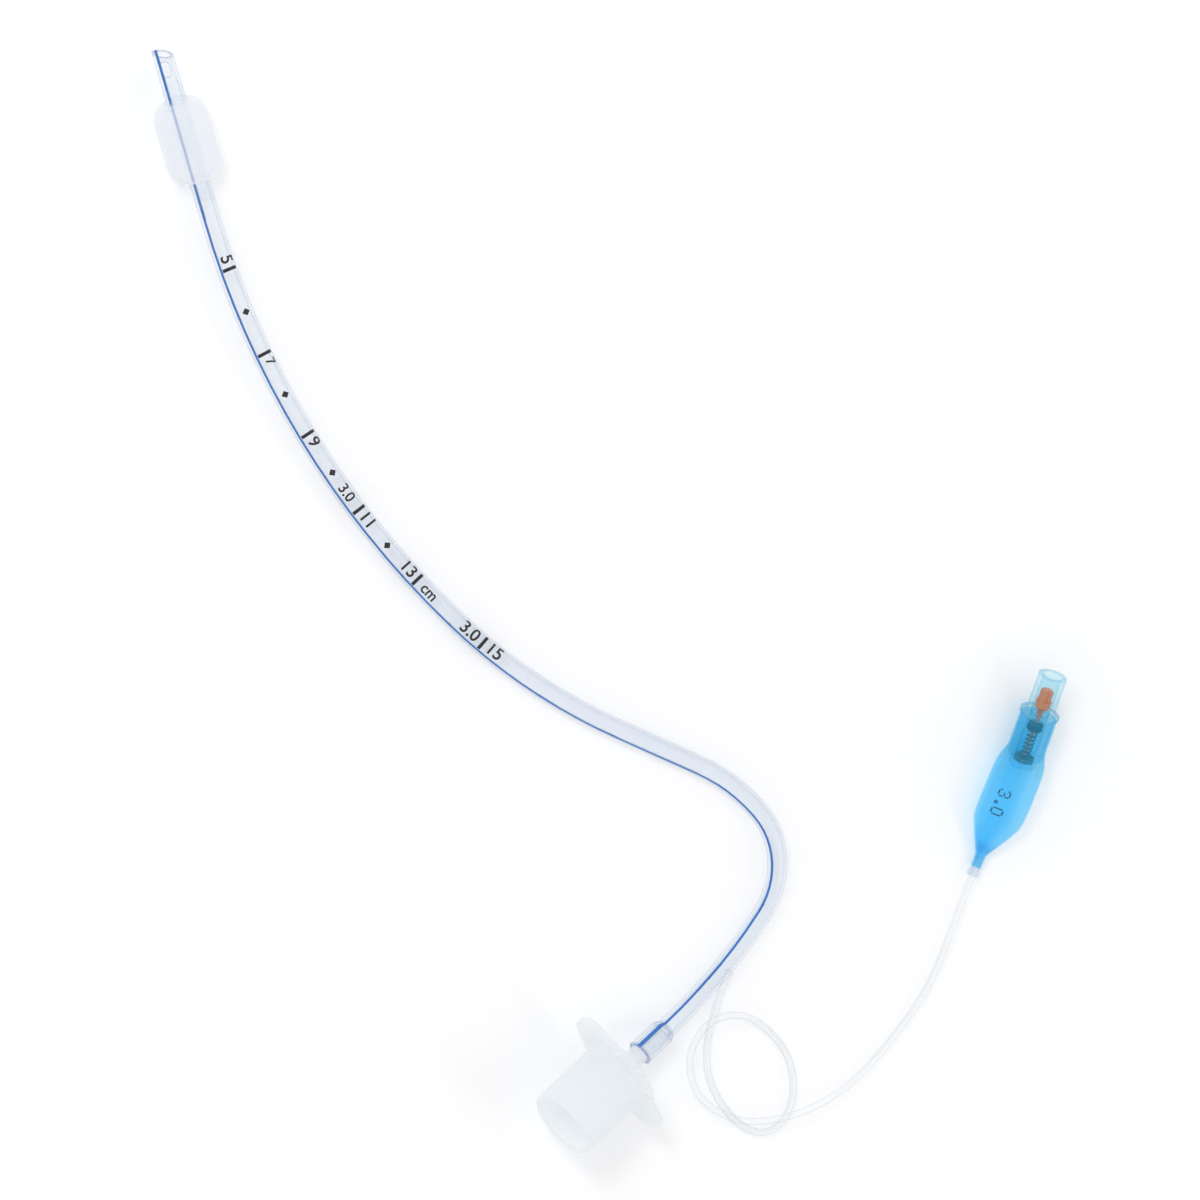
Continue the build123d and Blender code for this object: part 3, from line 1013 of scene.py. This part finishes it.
def wrapOnTube(mesh, distance, turn):
    # Bends a flat mark, drawn in mm with x along the tube, round the tube's outside.
    for axis, reachOut in (((0, 1, 0), ink["wrapAcross"]), ((1, 0, 0), ink["wrapAlong"])):
        cuts = ceil(reachOut / ink["wrapEvery"])
        for cut in range(-cuts, cuts):
            bmesh.ops.bisect_plane(
                mesh,
                geom=list(mesh.verts) + list(mesh.edges) + list(mesh.faces),
                plane_co=Vector(axis) * cut * ink["wrapEvery"],
                plane_no=axis,
            )
    bmesh.ops.dissolve_degenerate(mesh, dist=ink["merge"], edges=mesh.edges)
    for vert in mesh.verts:
        angle = radians(turn) + vert.co.y / tubeRun["radius"]
        leant = ink["lean"] * tubeRun["radius"] * (cos(radians(turn)) - cos(angle))
        spot, heading = tubeSpot((distance + vert.co.x + leant) / 1000)
        leftward = Vector((-heading.y, heading.x, 0)).normalized()
        top = heading.cross(leftward)
        away = (tubeRun["radius"] + ink["lift"] + vert.co.z) / 1000
        vert.co = spot + (leftward * sin(angle) + top * cos(angle)) * away
    return mesh


def flatText(words, size):
    # Words in the plain built-in letters, drawn in mm.
    data = bpy.data.curves.new("figures", "FONT")
    data.body = words
    data.size = size
    data.align_x = "CENTER"
    data.align_y = "CENTER"
    data.extrude = ink["thick"]
    data.offset = size * ink["bolder"]
    holder = bpy.data.objects.new("figures", data)
    scene.collection.objects.link(holder)
    bpy.context.view_layer.update()
    shaped = holder.evaluated_get(bpy.context.evaluated_depsgraph_get())
    plain = bpy.data.meshes.new_from_object(shaped)
    mesh = bmesh.new()
    mesh.from_mesh(plain)
    bmesh.ops.remove_doubles(mesh, verts=mesh.verts, dist=ink["merge"])
    bpy.data.objects.remove(holder)
    bpy.data.meshes.remove(plain)
    return mesh


def plate(length, width, turned=0.0):
    # Thin flat plate in mm, x along the tube.
    mesh = bmesh.new()
    bmesh.ops.create_cube(mesh, size=1.0)
    bmesh.ops.scale(mesh, vec=(length, width, 2 * ink["thick"]), verts=mesh.verts)
    spin = Matrix.Rotation(turned, 3, "Z")
    bmesh.ops.rotate(mesh, cent=(0, 0, 0), matrix=spin, verts=mesh.verts)
    return mesh


# Ink, faded in places
inkLook = {
    "wornScale": 700.0,
    "wornPower": 4.0,
    "faded": shade(70, 68, 66),
    "roughness": 0.35,
    "rougher": 0.2,
}


def wornInk(name, colour):
    paint = Paint(name)
    worn = paint.noise(inkLook["wornScale"])
    faded = paint.blendColour(worn ** inkLook["wornPower"], colour, inkLook["faded"])
    rough = inkLook["roughness"] + worn * inkLook["rougher"]
    return paint.finish(paint.solid({"Base Color": faded, "Roughness": rough}))


def depthPrint():
    marks = []
    for words, bar, offset, turn, share in depthFigures:
        marks.append(wrapOnTube(flatText(words, ink["figure"] * share), bar + offset, turn))
    wide = radians(ink["barTo"] - ink["barFrom"]) * tubeRun["radius"]
    middle = (ink["barTo"] + ink["barFrom"]) / 2
    for bar in depthBars:
        marks.append(wrapOnTube(plate(ink["bar"], wide), bar, middle))
    for spot in depthDiamonds:
        diamond = plate(ink["diamond"], ink["diamond"], pi / 4)
        marks.append(wrapOnTube(diamond, spot, ink["diamondTurn"]))
    whole = bmesh.new()
    for mark in marks:
        part = bpy.data.meshes.new("mark")
        mark.to_mesh(part)
        mark.free()
        whole.from_mesh(part)
        bpy.data.meshes.remove(part)
    return placed("depthPrint", whole, wornInk("printInk", ink["colour"]), False)


printPiece = depthPrint()
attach(printPiece, "tube_set")
print("depth marks printed")

# Size number on the balloon, in rows of short dashes
dots = {
    "rows": {
        "3": ["01110", "10001", "00001", "00110", "00001", "10001", "01110"],
        ".": ["00000", "00000", "00000", "00000", "00000", "00110", "00110"],
        "0": ["01110", "10001", "10001", "10001", "10001", "10001", "01110"],
    },
    "words": "3.0",
    "columns": 6,  # from one figure to the next
    "pitchAlong": 0.34,
    "pitchAcross": 0.38,
    "dash": (0.27, 0.36),
    "start": (8.6, -0.9),  # mm from the sleeve, mm to the side
    "from": 20,  # mm over the floor, above the balloon
    "thick": 0.02,
    "lift": 0.01,
    "colour": shade(8, 58, 92),
}


def balloonPrint():
    shape = bmesh.new()
    skin = BVHTree.FromObject(balloonPiece, bpy.context.evaluated_depsgraph_get())
    origin = mm(*balloon["start"], dots["from"])
    flat = (*dots["dash"], 2 * dots["thick"])
    for place, figure in enumerate(dots["words"]):
        for row, line in enumerate(dots["rows"][figure]):
            for column, mark in enumerate(line):
                if mark == "0":
                    continue
                columns = place * dots["columns"] + column
                onward = dots["start"][0] + columns * dots["pitchAlong"]
                aside = dots["start"][1] - row * dots["pitchAcross"]
                above = origin + (balloonWay * onward + balloonSide * aside) / 1000
                hit, normal, _, _ = skin.ray_cast(above, Vector((0, 0, -1)))
                made = bmesh.ops.create_cube(shape, size=1 / 1000)
                bmesh.ops.scale(shape, vec=flat, verts=made["verts"])
                stand = framed(hit + normal * dots["lift"] / 1000, normal, balloonWay)
                bmesh.ops.transform(shape, matrix=stand, verts=made["verts"])
    return placed("balloonPrint", shape, wornInk("balloonInk", dots["colour"]), False)


balloonFigures = balloonPrint()
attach(balloonFigures, "tube_set")
print("balloon printed")

# The line is a free cord that ends in the balloon's neck
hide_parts("pilot_line")
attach(lineTube, "tube_set")

# Studio: pale floor, soft light, white behind
studio = {
    "floor": 6.0,
    "floorColour": shade(253, 253, 254),
    "floorSpeck": shade(250, 250, 251),
    "speckScale": 40.0,
    "floorRoughness": 0.7,
    "floorLift": 0.05,  # only as the camera sees it
    "white": (1.0, 1.0, 1.0, 1.0),
    "sky": 0.8,
    "aim": (0.03, -0.02, 0),
    "key": 4.2,
    "keySize": (0.35, 0.35),
    "keyPlace": (-0.55, 0.75, 1.15),
    "strip": 1.2,
    "stripSize": (0.1, 0.8),
    "stripPlace": (0.9, -0.35, 0.8),
    "clearWalls": 40,  # they lie many deep in the valve and the cuff
}


def floorSheet():
    mesh = bmesh.new()
    bmesh.ops.create_grid(mesh, x_segments=1, y_segments=1, size=studio["floor"] / 2)
    paint = Paint("paleFloor")
    speck = paint.noise(studio["speckScale"])
    seen = paint.node("ShaderNodeLightPath", out="Is Camera Ray")
    sockets = {
        "Base Color": paint.blendColour(speck, studio["floorColour"], studio["floorSpeck"]),
        "Roughness": studio["floorRoughness"],
        "Emission Color": studio["white"],
        "Emission Strength": seen * studio["floorLift"],
    }
    piece = placed("paleFloor", mesh, paint.finish(paint.solid(sockets)))


def lamp(name, place, energy, size):
    data = bpy.data.lights.new(name, "AREA")
    data.shape = "RECTANGLE"
    data.size, data.size_y = size
    data.energy = energy
    piece = bpy.data.objects.new(name, data)
    scene.collection.objects.link(piece)
    direction = (Vector(studio["aim"]) - Vector(place)).normalized()
    piece.matrix_world = framed(Vector(place), -direction, (1, 0, 0))


def whiteWorld():
    # Plain white to the camera, also through clear plastic, and dimmer as a light.
    paint = Paint("studioWorld", bpy.data.worlds)
    seen = paint.node("ShaderNodeLightPath", out="Is Camera Ray")
    through = paint.node("ShaderNodeLightPath", out="Is Transmission Ray")
    behind = {"Color": studio["white"], "Strength": 1.0}
    light = {"Color": studio["white"], "Strength": studio["sky"]}
    surface = paint.mixed(
        paint.sum("MAXIMUM", seen, through),
        paint.node("ShaderNodeBackground", {}, light),
        paint.node("ShaderNodeBackground", {}, behind),
    )
    scene.world = paint.finish(surface, "ShaderNodeOutputWorld")


floorSheet()
whiteWorld()
lamp("keyLamp", studio["keyPlace"], studio["key"], studio["keySize"])
lamp("stripLamp", studio["stripPlace"], studio["strip"], studio["stripSize"])
scene.view_settings.view_transform = "Standard"
scene.cycles.transparent_max_bounces = studio["clearWalls"]
print("studio lit")
